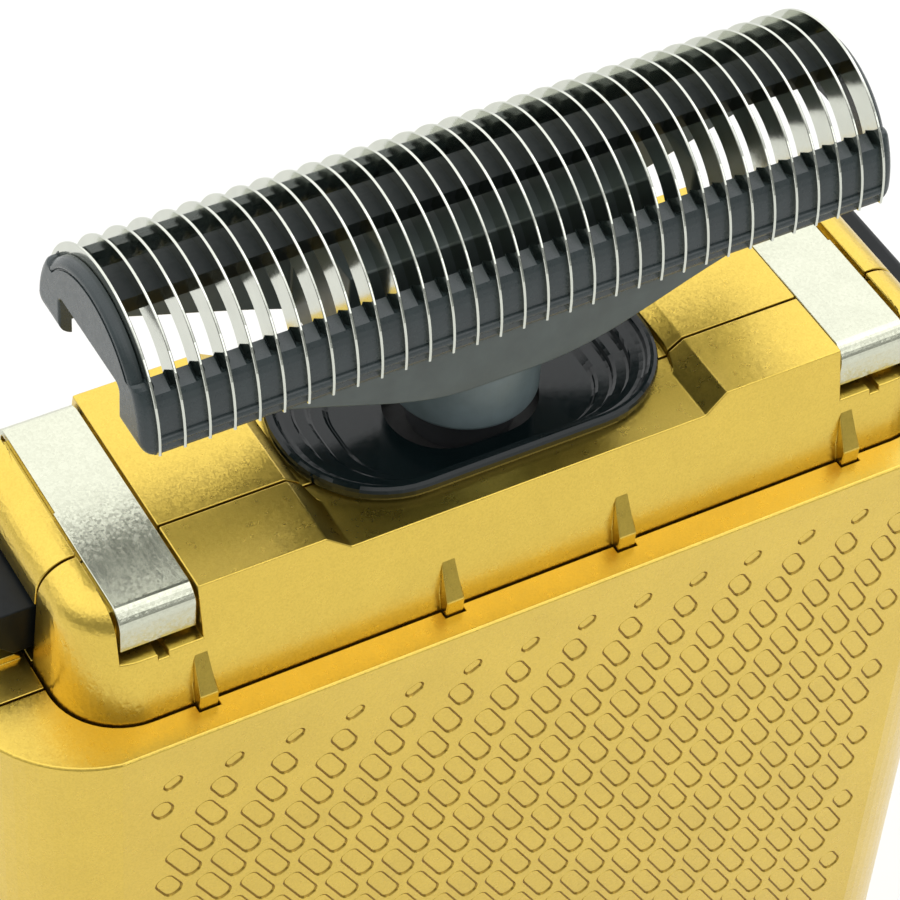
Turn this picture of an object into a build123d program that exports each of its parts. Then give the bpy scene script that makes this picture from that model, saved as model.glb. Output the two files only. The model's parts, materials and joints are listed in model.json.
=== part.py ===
"""Compact electric foil shaver with its foil head taken off, so the cutter block is exposed.

Frame: +Z up, Z = 0 on the base, X along the cutter, -Y towards the front panel. Millimetres.
"""
from build123d import *
import math
import os

os.makedirs("parts", exist_ok=True)

# ---- driving dimensions -------------------------------------------------------------------------
# body
HALF_W = 32.3            # half width of the body
HALF_D = 11.4            # half depth of the body, panel to panel
CREASE_X = 26.1          # where the flat panel meets the rounded side
SIDE_FLAT = 4.0          # half length of the flat strip on each side
WALL = 1.8               # shell wall
BASE_H = 6.0             # height of the base cap
LEDGE_Z = 84.8           # top of the body shells, the shoulder round the neck
LEDGE_T = 2.0            # thickness of the shoulder
BODY_SEAM_Y = -4.9       # parting plane of the two body shells
# neck
DECK_Z = 92.0            # top of the deck pads
NECK_SEAM_Y = -2.93      # parting plane of the two neck halves
NECK_TOP = (53.8, 15.32)     # width and depth at the deck
NECK_FOOT = (54.8, 18.54)    # width and depth at the ledge
NECK_WALL = 1.6
SKIRT_Z = 80.6           # bottom of the neck inside the body
GASKET_Z = LEDGE_Z - LEDGE_T - 0.8   # top of the neck's flange
RECESS = 1.02            # depth of the middle of the deck below the pads
RAMP_TOP_X = 12.45
RAMP_FOOT_X = 11.04
DECK_UNDER = 89.4        # underside of the deck plate
NECK_FLOOR = LEDGE_Z - 1.2           # floor between the skirt and the release button pockets
DRIVE_HALF_X = 21.5      # half width of the drive's room under the deck
CAP_ROUND = 2.1          # shoulder radius of the neck's end caps
FIN_X = (-20.3, -5.45, 5.45, 20.3)
FIN_TOP_W, FIN_FOOT_W = 0.72, 1.1
PILLAR = (20.3, 5.6)     # where the drive frame is screwed to the neck
# straps
STRAP_IN, STRAP_OUT = 20.1, 24.5
STRAP_T = 0.5
STRAP_TOP = DECK_Z - 0.15
STRAP_HALF_D = 7.78
STRAP_LEG_Z = DECK_Z - 2.45
NOTCH_Z = DECK_Z - 3.3
STUD_Y = 4.2             # studs that hold a strap in the deck
# cutter
AXIS_Z = DECK_Z + 10.0   # centre of the blade arch
BLADE_R = 6.6
BLADE_IN_R = 4.9
BLADE_T = 0.2
BLADE_PITCH = 1.397
BLADE_COUNT = 32
CAP_R = 5.95             # end cap arch
CAP_FACE_X = 22.5        # outer face of an end cap
CAP_T = 0.7
FOOT_DROP = 0.8          # how far the rails reach below the blade arch's centre
RAIL_R = 6.3
RAIL_TOP_DEG = 34.0
SPINE_R = 5.7
SPINE_HALF_DEG = 13.0
WEB_Y = 4.5              # outer face of the hub's webs
HUB_FOOT = DECK_Z + 3.75
BOSS_R = 4.25
BOSS_FOOT = DECK_Z - 0.35
# drive
POST_R = 3.0
RUN = 0.05               # radial running clearance
STROKE = 1.2             # half stroke of the oscillation
FLOAT = 1.5              # travel of the cutter down its post
MOTOR_R = 7.75
MOTOR_SCREW_X = 5.9
PLATE_Z0, PLATE_Z1 = 79.2, 81.3      # drive frame plate, between the motor and the carriage
ROD_Z, ROD_Y, ROD_R = 85.3, 4.0, 1.0
CARRIAGE_Z0, CARRIAGE_Z1 = 83.1, 87.5
SHAFT_R = 1.0            # motor shaft
CAM_Z0, CAM_Z1 = 81.5, 82.8
PIN_R = 0.8              # crank pin
POST_TOP = DECK_Z + 6.0
SPRING_TOP = AXIS_Z      # ceiling of the float spring's bore
FLOAT_PIN_R = 0.55
FLOAT_PIN_Z = HUB_FOOT + 1.05
# power
BUTTON_Z = 34.0          # power button
LENS_Z = 22.0            # indicator
SCREW_AT = ((-27.2, 74.0), (27.2, 74.0), (-27.2, 14.0), (27.2, 14.0))
HOLE_GAP = 0.15          # gap between the neck and the hole in the ledge
# release buttons
WINDOW_TOP = DECK_Z - 2.85
WINDOW_REAR = 5.6
POCKET_IN, POCKET_OUT = 22.6, 25.6   # pocket that holds the button's flange

nodes = {}


# ---- helpers ------------------------------------------------------------------------------------
def box(x0, x1, y0, y1, z0, z1):
    """Block between two corners, given in any order."""
    centre = Pos((x0 + x1) / 2, (y0 + y1) / 2, (z0 + z1) / 2)
    return centre * Box(abs(x1 - x0), abs(y1 - y0), abs(z1 - z0))


def cyl_z(r, z0, z1, x=0.0, y=0.0):
    return Pos(x, y, (z0 + z1) / 2) * Cylinder(r, z1 - z0)


def cyl_x(r, x0, x1, y, z):
    return Pos((x0 + x1) / 2, y, z) * Rot(0, 90, 0) * Cylinder(r, abs(x1 - x0))


def cyl_y(r, y0, y1, x, z):
    return Pos(x, (y0 + y1) / 2, z) * Rot(90, 0, 0) * Cylinder(r, abs(y1 - y0))


def rounded(length, depth, r, z0, z1, x=0.0, y=0.0):
    return Pos(x, y, z0) * extrude(RectangleRounded(length, depth, r), z1 - z0)


def slab_xz(sketch, y0, y1):
    """Extrude a sketch drawn in X and Z from y0 to y1."""
    return Pos(0, y1, 0) * extrude(Plane.XZ * sketch, y1 - y0)


def slab_yz(sketch, x0, x1):
    """Extrude a sketch drawn in Y and Z between x0 and x1."""
    return Pos(min(x0, x1), 0, 0) * extrude(Plane.YZ * sketch, abs(x1 - x0))


def sector(r0, r1, a0, a1):
    """Ring sector about the cutter axis, angles in degrees from the front (-Y) over the top."""
    def at(r, a):
        t = math.radians(a)
        return (-r * math.cos(t), AXIS_Z + r * math.sin(t))
    mid = (a0 + a1) / 2
    outer = ThreePointArc(at(r1, a0), at(r1, mid), at(r1, a1))
    inner = ThreePointArc(at(r0, a1), at(r0, mid), at(r0, a0))
    return make_face([outer, Line(at(r1, a1), at(r0, a1)), inner, Line(at(r0, a0), at(r1, a0))])


def coil(r, wire, z0, z1, turns):
    """Closed-end compression spring along Z between two planes."""
    height = z1 - z0 - 2 * wire
    path = Helix(height / turns, height, r)
    start = Plane(origin=path @ 0, z_dir=path % 0)
    spring = sweep(start * Circle(wire), path=path)
    rings = [Pos(0, 0, z) * Torus(r, wire) for z in (0, height)]
    return Pos(0, 0, z0 + wire) * (spring + rings[0] + rings[1])


def keep(name, shape):
    solids = shape.solids()
    nodes[name] = solids[0] if len(solids) == 1 else Compound(children=list(solids))


# ---- body ---------------------------------------------------------------------------------------
def body_outline(inset=0.0):
    """Flat panels front and back, a faint crease, then rounded sides with a short flat."""
    run = HALF_W - CREASE_X
    rise = HALF_D - SIDE_FLAT
    r = (run ** 2 + rise ** 2) / (2 * run)
    cx = HALF_W - r
    r -= inset
    rise -= inset
    crease = cx + math.sqrt(r ** 2 - rise ** 2)
    mid = math.atan2(rise, crease - cx) / 2
    points = ((crease, SIDE_FLAT + rise), (cx + r * math.cos(mid), SIDE_FLAT + r * math.sin(mid)),
              (cx + r, SIDE_FLAT))
    edges = []
    for sx, sy in ((1, 1), (1, -1), (-1, -1), (-1, 1)):
        edges.append(ThreePointArc(*[(x * sx, y * sy) for x, y in points]))
    for sign in (1, -1):
        edges.append(Line((crease, sign * (SIDE_FLAT + rise)), (-crease, sign * (SIDE_FLAT + rise))))
        edges.append(Line((sign * (cx + r), SIDE_FLAT), (sign * (cx + r), -SIDE_FLAT)))
    return make_face(edges)


def body_prism(z0, z1, inset=0.0, bevel_bottom=0.0, bevel_top=0.0):
    """Prism of the body outline, with its bottom or top edge bevelled."""
    low, high = z0 + bevel_bottom, z1 - bevel_top
    solid = Pos(0, 0, low) * extrude(body_outline(inset), high - low)
    if bevel_bottom:
        edge = Pos(0, 0, z0) * body_outline(inset + bevel_bottom)
        solid += loft([edge, Pos(0, 0, low) * body_outline(inset)])
    if bevel_top:
        edge = Pos(0, 0, z1) * body_outline(inset + bevel_top)
        solid += loft([Pos(0, 0, high) * body_outline(inset), edge])
    return solid


def body_shells():
    solid = body_prism(BASE_H, LEDGE_Z, bevel_top=0.12)
    cavity = body_prism(BASE_H, LEDGE_Z - LEDGE_T, WALL)
    hole = rounded(NECK_FOOT[0] + 2 * HOLE_GAP, NECK_FOOT[1] + 2 * HOLE_GAP, 4.15, LEDGE_Z - 3, LEDGE_Z + 1)
    shell = solid - cavity - hole
    edge = NECK_FOOT[1] / 2
    for x in FIN_X:
        for s in (-1, 1):
            half = FIN_FOOT_W / 2 + 0.08
            shell -= box(x - half, x + half, s * edge, s * (edge + 0.66), LEDGE_Z - 3, LEDGE_Z + 1)
    front = shell & box(-40, 40, -20, BODY_SEAM_Y, -1, 100)
    rear = shell & box(-40, 40, BODY_SEAM_Y, 20, -1, 100)
    # screw bosses: the rear one takes the head, the front one is threaded
    within = body_prism(BASE_H, LEDGE_Z, WALL / 2)
    for x, z in SCREW_AT:
        rear += cyl_y(2.6, BODY_SEAM_Y, HALF_D - WALL / 2, x, z) & within
        front += cyl_y(2.6, -HALF_D + WALL / 2, BODY_SEAM_Y, x, z) & within
        rear -= cyl_y(1.15, BODY_SEAM_Y - 1, HALF_D + 1, x, z)
        rear -= cyl_y(2.05, HALF_D - 3.2, HALF_D + 3, x, z)
        front -= cyl_y(0.95, -HALF_D + 1.2, BODY_SEAM_Y + 1, x, z)
    # power button and indicator openings in the front panel
    front -= cyl_y(7.3, -HALF_D - 1, -HALF_D + 5, 0, BUTTON_Z)
    front -= Pos(0, -HALF_D + 5, LENS_Z) * extrude(Plane.XZ * SlotOverall(6.3, 1.9), 8)
    # raised sills of the release buttons on the ledge
    for s in (-1, 1):
        sill = box(s * 27.8, s * 29.6, -2.4, 5.2, LEDGE_Z - 0.2, LEDGE_Z + 0.45)
        rear += chamfer(sill.edges().filter_by(Axis.Y).group_by(Axis.Z)[-1], 0.3)
    keep("front_shell", front)
    keep("rear_shell", rear)


def base_cap():
    cap = body_prism(0, BASE_H, bevel_bottom=1.2)
    cap += body_prism(BASE_H, BASE_H + 2.0, WALL + 0.05)
    cap -= body_prism(WALL, BASE_H + 3.0, WALL + 1.3)
    cap -= Pos(0, 0, -1) * extrude(SlotOverall(11.4, 5.6), 6)
    for x, z in SCREW_AT[2:]:
        cap -= cyl_y(2.9, -HALF_D, HALF_D, x, z)
    keep("base_cap", cap)
    socket = Pos(0, 0, 0.6) * extrude(SlotOverall(11.3, 5.5), 8.4)
    socket -= Pos(0, 0, 0.5) * extrude(SlotOverall(9.0, 3.2), 7.2)
    socket += box(-3.1, 3.1, -0.35, 0.35, 1.6, 8)
    keep("charge_socket", socket)


def case_screws():
    screws = Part()
    for x, z in SCREW_AT:
        screw = cyl_y(0.95, -HALF_D + 1.4, HALF_D - 3.2, x, z)
        screw += cyl_y(1.9, HALF_D - 3.2, HALF_D - 1.7, x, z)
        socket = Pos(x, HALF_D, z) * extrude(Plane.XZ * RegularPolygon(0.85, 6), 2.4)
        screws += screw - socket
    keep("case_screws", screws)


# ---- neck ---------------------------------------------------------------------------------------
def neck_blank():
    """Drafted block between the ledge and the deck."""
    foot = Pos(0, 0, LEDGE_Z) * RectangleRounded(NECK_FOOT[0], NECK_FOOT[1], 4.0)
    top = Pos(0, 0, DECK_Z) * RectangleRounded(NECK_TOP[0], NECK_TOP[1], 3.2)
    return loft([foot, top])


def face_y(z):
    """Half depth of the drafted neck face at height z."""
    draft = (NECK_FOOT[1] - NECK_TOP[1]) / 2 / (DECK_Z - LEDGE_Z)
    return NECK_TOP[1] / 2 + draft * (DECK_Z - z)


def neck_outside():
    """Deck block with sharp front edges between the straps and rounded end caps beyond them."""
    blank = neck_blank()
    round_top = fillet(blank.faces().sort_by(Axis.Z)[-1].edges(), CAP_ROUND)
    cap_x = STRAP_OUT + 0.2
    middle = box(-cap_x, cap_x, -12, 12, LEDGE_Z, DECK_Z)
    neck = (blank & middle) + (round_top - middle)
    # skirt and clamping flange inside the body
    neck += rounded(NECK_FOOT[0], NECK_FOOT[1], 4.0, SKIRT_Z, LEDGE_Z)
    neck += rounded(58.4, 19.0, 4.0, SKIRT_Z, GASKET_Z)
    # guide fins, each seated in a notch of the ledge
    z_top, z_mid = DECK_Z - 4.2, DECK_Z - 6.2
    y_root, y_mid = face_y(z_top) - 0.5, face_y(z_mid) + 0.8
    for s in (-1, 1):
        fin = make_face(Polyline((s * y_root, z_top), (s * face_y(z_top), z_top), (s * y_mid, z_mid),
                                 (s * y_mid, LEDGE_Z - 1.0), (s * y_root, LEDGE_Z - 1.0), close=True))
        for x in FIN_X:
            top, foot = FIN_TOP_W / 2, FIN_FOOT_W / 2
            taper = make_face(Polyline((x - top, z_top), (x + top, z_top), (x + foot, z_mid),
                                       (x + foot, 80), (x - foot, 80), (x - foot, z_mid), close=True))
            neck += slab_yz(fin, x - foot, x + foot) & slab_xz(taper, -12, 12)
    return neck


def neck_hollow():
    """Room for the drive: wide in the skirt, narrower above the floor of the button pockets."""
    depth_foot = NECK_FOOT[1] - 2 * NECK_WALL
    depth_under = 2 * face_y(DECK_UNDER) - 2 * NECK_WALL
    room = rounded(NECK_FOOT[0] - 2 * NECK_WALL, depth_foot, 2.4, SKIRT_Z, NECK_FLOOR)
    room += rounded(2 * DRIVE_HALF_X, depth_foot, 2.0, NECK_FLOOR, LEDGE_Z)
    low = Pos(0, 0, LEDGE_Z) * RectangleRounded(2 * DRIVE_HALF_X, depth_foot, 2.0)
    high = Pos(0, 0, DECK_UNDER) * RectangleRounded(2 * DRIVE_HALF_X, depth_under, 2.0)
    return room + loft([low, high])


def deck_recess():
    """Sunken middle of the deck between two ramps, with the boot's seat and opening."""
    floor_z = DECK_Z - RECESS
    outline = Polyline((-RAMP_TOP_X, DECK_Z), (-RAMP_FOOT_X, floor_z), (RAMP_FOOT_X, floor_z),
                       (RAMP_TOP_X, DECK_Z), (RAMP_TOP_X, DECK_Z + 1), (-RAMP_TOP_X, DECK_Z + 1), close=True)
    recess = slab_xz(make_face(outline), -12, 12)
    recess += rounded(23.2, 14.1, 5.0, floor_z, DECK_Z + 1)
    return recess + rounded(20.4, 11.2, 3.9, DECK_UNDER - 1, DECK_Z)


def strap_seat(s):
    """Channel across the deck, leg notches with a small nick each, and two stud holes."""
    x0, x1 = s * (STRAP_IN - 0.12), s * (STRAP_OUT + 0.2)
    mid_x = s * (STRAP_IN + STRAP_OUT) / 2
    seat = box(x0, x1, -12, 12, STRAP_TOP - STRAP_T, DECK_Z + 1)
    for t in (-1, 1):
        y0, y1 = t * (STRAP_HALF_D - 1.05), t * 12
        seat += box(x0, x1, y0, y1, NOTCH_Z, DECK_Z + 1)
        seat += box(mid_x - 0.3, mid_x + 0.3, y0, y1, NOTCH_Z - 0.35, DECK_Z)
        seat += cyl_z(0.95, DECK_UNDER - 1, DECK_Z, mid_x, t * STUD_Y)
    return seat


def release_window(s):
    """Opening of a release button in the neck's end, and the wider pocket behind it."""
    window = box(s * POCKET_IN, s * 30, NECK_SEAM_Y, WINDOW_REAR, LEDGE_Z, WINDOW_TOP)
    rear_y, top_z = WINDOW_REAR + 0.6, WINDOW_TOP + 0.7
    return window + box(s * POCKET_IN, s * POCKET_OUT, NECK_SEAM_Y, rear_y, LEDGE_Z, top_z)


def neck_halves():
    neck = neck_outside() - neck_hollow() - deck_recess()
    front = neck & box(-40, 40, -20, NECK_SEAM_Y, 70, 100)
    rear = neck & box(-40, 40, NECK_SEAM_Y, 20, 70, 100)
    for s in (-1, 1):
        # pillars that take the drive frame's screws
        x, y = s * PILLAR[0], PILLAR[1]
        front += cyl_z(1.9, PLATE_Z1, DECK_UNDER + 0.5, x, -y)
        rear += cyl_z(1.9, PLATE_Z1, DECK_UNDER + 0.5, x, y)
        front -= cyl_z(0.8, PLATE_Z1 - 1, PLATE_Z1 + 6.5, x, -y)
        rear -= cyl_z(0.8, PLATE_Z1 - 1, PLATE_Z1 + 6.5, x, y)
        front -= strap_seat(s)
        rear -= strap_seat(s)
        rear -= release_window(s)
    keep("neck_front", front)
    keep("neck_rear", rear)


def gasket():
    """Ring that seals the neck's flange against the underside of the ledge."""
    ring = rounded(57.2, 18.9, 4.0, GASKET_Z, LEDGE_Z - LEDGE_T)
    keep("neck_gasket", ring - rounded(NECK_FOOT[0] + 0.4, NECK_FOOT[1] + 0.3, 4.0, SKIRT_Z, LEDGE_Z))


def straps():
    """Two stainless U straps over the deck, held by studs."""
    height = STRAP_TOP - STRAP_LEG_Z
    outer = Pos(0, STRAP_LEG_Z) * Rectangle(2 * STRAP_HALF_D, 2 * height)
    outer = fillet(outer.vertices().group_by(Axis.Y)[-1], 1.1)
    inner = Pos(0, STRAP_LEG_Z) * Rectangle(2 * (STRAP_HALF_D - STRAP_T), 2 * (height - STRAP_T))
    inner = fillet(inner.vertices().group_by(Axis.Y)[-1], 0.3)
    for name, s in (("left_strap", -1), ("right_strap", 1)):
        mid_x = s * (STRAP_IN + STRAP_OUT) / 2
        strap = slab_yz(outer - inner, s * STRAP_IN, s * STRAP_OUT)
        strap &= box(-40, 40, -12, 12, STRAP_LEG_Z, STRAP_TOP)
        for t in (-1, 1):
            strap += cyl_z(0.9, DECK_UNDER + 0.2, STRAP_TOP - STRAP_T, mid_x, t * STUD_Y)
        # the rear half is a little narrower on its outer edge
        strap -= box(s * (STRAP_OUT - 0.12), s * (STRAP_OUT + 1), 0.4, 12, 80, 95)
        keep(name, strap)


def boot():
    """Rubber boot: a raised lip, steps that sink to a floor, and a flange under the deck."""
    floor_z = DECK_Z - RECESS
    lip = rounded(22.6, 13.5, 4.8, floor_z, floor_z + 0.8)
    lip = fillet(lip.faces().sort_by(Axis.Z)[-1].edges(), 0.35)
    body = lip + rounded(20.3, 11.1, 3.85, DECK_UNDER, floor_z)
    body += rounded(21.8, 12.4, 4.4, DECK_UNDER - 0.7, DECK_UNDER)
    for length, depth, r, z in ((20.6, 11.6, 4.2, floor_z + 0.25), (19.0, 10.6, 3.9, floor_z - 0.2),
                                (17.0, 9.9, 3.7, floor_z - 0.65)):
        body -= rounded(length, depth, r, z, DECK_Z + 1)
    body -= rounded(14.8, 9.4, 3.6, DECK_Z - 2.0, DECK_Z + 1)
    body -= Pos(0, 0, 80) * extrude(SlotOverall(2 * (POST_R + STROKE + 0.35), 2 * (POST_R + 0.35)), 20)
    body -= rounded(17.0, 9.9, 3.7, DECK_UNDER - 1, DECK_Z - 2.7)
    keep("seal_boot", body)


# ---- drive --------------------------------------------------------------------------------------
def drive_frame():
    plate = rounded(48.0, 14.8, 3.0, PLATE_Z0, PLATE_Z1)
    for s in (-1, 1):
        plate += box(s * 15.0, s * 17.4, -6.4, 6.4, PLATE_Z1, ROD_Z + 2.2)
    for t in (-1, 1):
        plate -= cyl_x(ROD_R, -30, 30, t * ROD_Y, ROD_Z)
        for s in (-1, 1):
            plate -= cyl_z(1.05, PLATE_Z0 - 1, PLATE_Z1 + 1, s * PILLAR[0], t * PILLAR[1])
    plate -= cyl_z(3.1, PLATE_Z0 - 1, PLATE_Z1 + 1)
    for s in (-1, 1):
        plate -= cyl_z(1.05, PLATE_Z0 - 1, PLATE_Z1 + 1, s * MOTOR_SCREW_X, 0)
    keep("drive_frame", plate)
    rods = Part()
    for t in (-1, 1):
        rods += cyl_x(ROD_R, -17.2, 17.2, t * ROD_Y, ROD_Z)
    keep("guide_rods", rods)
    screws = Part()
    for s in (-1, 1):
        for t in (-1, 1):
            x, y = s * PILLAR[0], t * PILLAR[1]
            head = cyl_z(1.8, PLATE_Z0 - 1.3, PLATE_Z0, x, y)
            head -= cyl_z(0.7, PLATE_Z0 - 2, PLATE_Z0 - 0.6, x, y)
            screws += head + cyl_z(0.8, PLATE_Z0, PLATE_Z1 + 5.8, x, y)
    keep("frame_screws", screws)


def oscillator():
    """Carriage on two rods, the post it carries, and the wiper that covers the boot's slot."""
    z0, z1 = CARRIAGE_Z0, CARRIAGE_Z1
    carriage = box(-12.5, 12.5, -5.9, 5.9, z0, z1)
    carriage -= box(-3.5, 3.5, -2.6, 2.6, z0 - 1, 86.6)
    bushes = Part()
    for t in (-1, 1):
        for s in (-1, 1):
            sleeve = cyl_x(1.5, s * 8.5, s * 12.5, t * ROD_Y, ROD_Z)
            carriage -= sleeve
            bushes += sleeve - cyl_x(ROD_R + RUN, s * 7.5, s * 13.5, t * ROD_Y, ROD_Z)
        carriage -= cyl_x(ROD_R + 0.25, -20, 20, t * ROD_Y, ROD_Z)
    keep("carriage", carriage)
    keep("guide_bushes", bushes)
    post = (cyl_z(5.0, z1, z1 + 0.6) & box(-4.2, 4.2, -6, 6, z1, z1 + 1)) + cyl_z(POST_R, z1, POST_TOP)
    post = chamfer(post.faces().sort_by(Axis.Z)[-1].edges(), 0.3)
    post -= cyl_x(FLOAT_PIN_R, -6, 6, 0, FLOAT_PIN_Z)
    keep("drive_post", post)
    keep("post_wiper", rounded(13.0, 9.0, 4.2, z1 + 0.6, z1 + 1.5) - cyl_z(POST_R, z1, z1 + 2))
    keep("float_pin", cyl_x(FLOAT_PIN_R, -5.0, 5.0, 0, FLOAT_PIN_Z))
    keep("float_spring", coil(1.9, 0.2, POST_TOP, SPRING_TOP, 4))


def motor():
    """Can motor with an eccentric cam, whose pin swings the carriage from side to side."""
    z0, z1 = 52.0, PLATE_Z0
    can = cyl_z(MOTOR_R, z0 + 2.2, z1)
    can -= cyl_z(MOTOR_R - 0.6, z0 + 1, z1 - 1.0)
    can += cyl_z(2.9, z1, z1 + 1.2)
    can -= cyl_z(SHAFT_R + RUN, z0, z1 + 3)
    for s in (-1, 1):
        can -= cyl_z(0.8, z1 - 3, z1 + 1, s * MOTOR_SCREW_X, 0)
    keep("motor_can", can)
    bell = cyl_z(MOTOR_R, z0, z0 + 2.2) + cyl_z(2.6, z0 - 1.2, z0)
    bell -= cyl_z(SHAFT_R + RUN, z0 - 0.6, z0 + 4)
    keep("motor_end_bell", bell)
    joint_z = (CAM_Z0 + CAM_Z1) / 2
    keep("motor_rotor", cyl_z(SHAFT_R, z0 - 0.5, joint_z) + cyl_z(5.6, z0 + 5, z1 - 4))
    cam = cyl_z(3.0, CAM_Z0, CAM_Z1) - cyl_z(SHAFT_R, CAM_Z0 - 1, joint_z)
    keep("eccentric_cam", cam - cyl_z(PIN_R, joint_z, CAM_Z1 + 1, STROKE, 0))
    keep("crank_pin", cyl_z(PIN_R, joint_z, 86.2, STROKE, 0))
    screws = Part()
    for s in (-1, 1):
        x = s * MOTOR_SCREW_X
        screws += cyl_z(0.8, z1 - 0.9, PLATE_Z1, x, 0) + cyl_z(1.6, PLATE_Z1, PLATE_Z1 + 1.1, x, 0)
        screws -= cyl_z(0.6, PLATE_Z1 + 0.5, PLATE_Z1 + 2, x, 0)
    keep("motor_screws", screws)


# ---- cutter -------------------------------------------------------------------------------------
def blade_x():
    """Places of the blades along the cutter."""
    first = -BLADE_PITCH * (BLADE_COUNT - 1) / 2
    return [first + i * BLADE_PITCH for i in range(BLADE_COUNT)]


def blade_plates():
    """The row of arched blades: half rings whose legs run down past the arch's centre line."""
    face = sector(BLADE_IN_R, BLADE_R, 0, 180)
    for s in (-1, 1):
        leg = Rectangle(BLADE_R - BLADE_IN_R, 0.4)
        face += Pos(s * (BLADE_IN_R + BLADE_R) / 2, AXIS_Z - 0.2) * leg
    plate = slab_yz(face, -BLADE_T / 2, BLADE_T / 2)
    plates = Part()
    for x in blade_x():
        plates += Pos(x, 0, 0) * plate
    return plates


def end_cap(s):
    """Arched wall at the end of the carrier, with a flat-topped hollow and a rib round its edge."""
    wall = sector(1.0, CAP_R - 0.25, 0, 180) + Pos(0, AXIS_Z + 1.1) * Rectangle(2.4, 2.2)
    cap = slab_yz(wall, s * (CAP_FACE_X - CAP_T), s * CAP_FACE_X)
    cap += slab_yz(sector(4.6, CAP_R, 0, 180), s * (CAP_FACE_X - 0.55), s * CAP_FACE_X)
    hollow = fillet((Pos(0, AXIS_Z + 0.675) * Rectangle(7.12, 2.95)).vertices().group_by(Axis.Y)[-1], 0.5)
    return cap - slab_yz(hollow, s * (CAP_FACE_X - 2), s * (CAP_FACE_X + 1))


def cutter():
    """Blades in a slotted carrier: two side rails and a top spine between arched end caps."""
    plates = blade_plates()
    keep("cutter_blades", plates)
    end_x = CAP_FACE_X - 0.1
    frame = slab_yz(sector(4.3, SPINE_R, 90 - SPINE_HALF_DEG, 90 + SPINE_HALF_DEG), -end_x, end_x)
    for a0, a1 in ((0, RAIL_TOP_DEG), (180 - RAIL_TOP_DEG, 180)):
        frame += slab_yz(sector(WEB_Y, RAIL_R, a0, a1), -end_x, end_x)
    for s in (-1, 1):
        foot = Pos(s * (WEB_Y + RAIL_R) / 2, AXIS_Z - FOOT_DROP / 2) * Rectangle(RAIL_R - WEB_Y, FOOT_DROP)
        foot = fillet(foot.vertices().group_by(Axis.Y)[0], 0.5)
        frame += slab_yz(foot, -end_x, end_x)
        frame += cyl_x(0.28, -end_x, end_x, s * RAIL_R, AXIS_Z + 0.75)
        frame += end_cap(s)
    side = Pos(0, AXIS_Z + 5 - FOOT_DROP) * Rectangle(2 * CAP_FACE_X, 10)
    side = fillet(side.vertices().group_by(Axis.Y)[0], 1.1)
    keep("cutter_carrier", (frame & slab_xz(side, -10, 10)) - plates)


def keel_profile():
    """Shallow V, seen from the front: deepest in the middle, rising to the rails."""
    end_x, end_z = 20.5, HUB_FOOT + 6.0
    points = [(1.6, HUB_FOOT), (4.6, HUB_FOOT + 0.3), (11.5, HUB_FOOT + 2.75), (end_x, end_z)]
    right = Spline(points, tangents=[(1, 0), (1, 0.42)])
    left = Spline([(-x, z) for x, z in reversed(points)], tangents=[(1, -0.42), (1, 0)])
    bottom = Line((-1.6, HUB_FOOT), (1.6, HUB_FOOT))
    rim = Polyline((end_x, end_z), (end_x, AXIS_Z), (-end_x, AXIS_Z), (-end_x, end_z))
    return make_face([left, bottom, right, rim])


def cutter_hub():
    """Keel under the cutter: two webs, a central block bored for the post, and a round boss."""
    hull = slab_xz(keel_profile(), -WEB_Y, WEB_Y)
    for s in (-1, 1):
        hull -= box(s * 9.0, s * 30, -WEB_Y + 1.0, WEB_Y - 1.0, 90, 110)
    hull += box(-9.0, 9.0, -2.6, 2.6, AXIS_Z - 1, AXIS_Z + 3.1)
    hull -= cyl_z(POST_R + RUN, 80, POST_TOP + FLOAT + 0.3)
    hull -= cyl_z(2.5, POST_TOP, SPRING_TOP)
    slot_r = FLOAT_PIN_R + RUN
    hull -= box(-5.3, 5.3, -slot_r, slot_r, FLOAT_PIN_Z - slot_r, FLOAT_PIN_Z + slot_r + FLOAT)
    keep("cutter_hub", hull)
    boss = cyl_z(BOSS_R, BOSS_FOOT, HUB_FOOT + 2.5) - cyl_z(POST_R + RUN, 80, 110)
    boss -= slab_xz(keel_profile(), -WEB_Y - 1, WEB_Y + 1)
    boss = boss.solids().sort_by(Axis.Z)[0]
    rim = boss.edges().filter_by(GeomType.CIRCLE).group_by(Axis.Z)[0].sort_by(SortBy.RADIUS)[-1]
    keep("float_boss", fillet(rim, 0.3))


# ---- power --------------------------------------------------------------------------------------
def power():
    """Two cells in a cradle beside the motor, and the board in front of them."""
    cell_x, cell_y, cell_r = 18.6, 1.9, 7.0
    cells = Part()
    tabs = Part()
    cradle = box(-26.2, 26.2, -2.0, 9.3, 17.0, 71.5)
    for s in (-1, 1):
        x = s * cell_x
        cells += cyl_z(cell_r, 20.0, 68.0, x, cell_y) + cyl_z(2.2, 68.0, 69.2, x, cell_y)
        tabs += box(x - 2.5, x + 2.5, -0.6, 4.4, 69.2, 69.5)
        tabs += box(x - 2.5, x + 2.5, -0.6, 4.4, 19.7, 20.0)
        cradle -= cyl_z(cell_r + 0.05, 19.6, 69.6, x, cell_y)
        cradle -= box(x - 7.05, x + 7.05, -3, cell_y, 19.6, 69.6)
    cradle -= cyl_z(MOTOR_R + 0.3, 48, 90)
    cradle -= box(-10.5, 10.5, -3, 10, 16, 60)
    cradle -= box(-10.5, 10.5, -3, 0, 16, 90)
    keep("battery_cells", cells)
    keep("battery_cradle", cradle)
    keep("battery_tabs", tabs)
    keep("main_board", box(-22, 22, -6.6, -5.6, 12.0, 50.0))
    chips = box(-15, -9, -5.6, -4.6, 22, 28) + box(-14, -10, -5.6, -4.4, 40, 45)
    chips += box(9, 13, -5.6, -4.2, 40, 47) + box(9, 15, -5.6, -4.5, 16, 22)
    keep("board_chips", chips)


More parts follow.
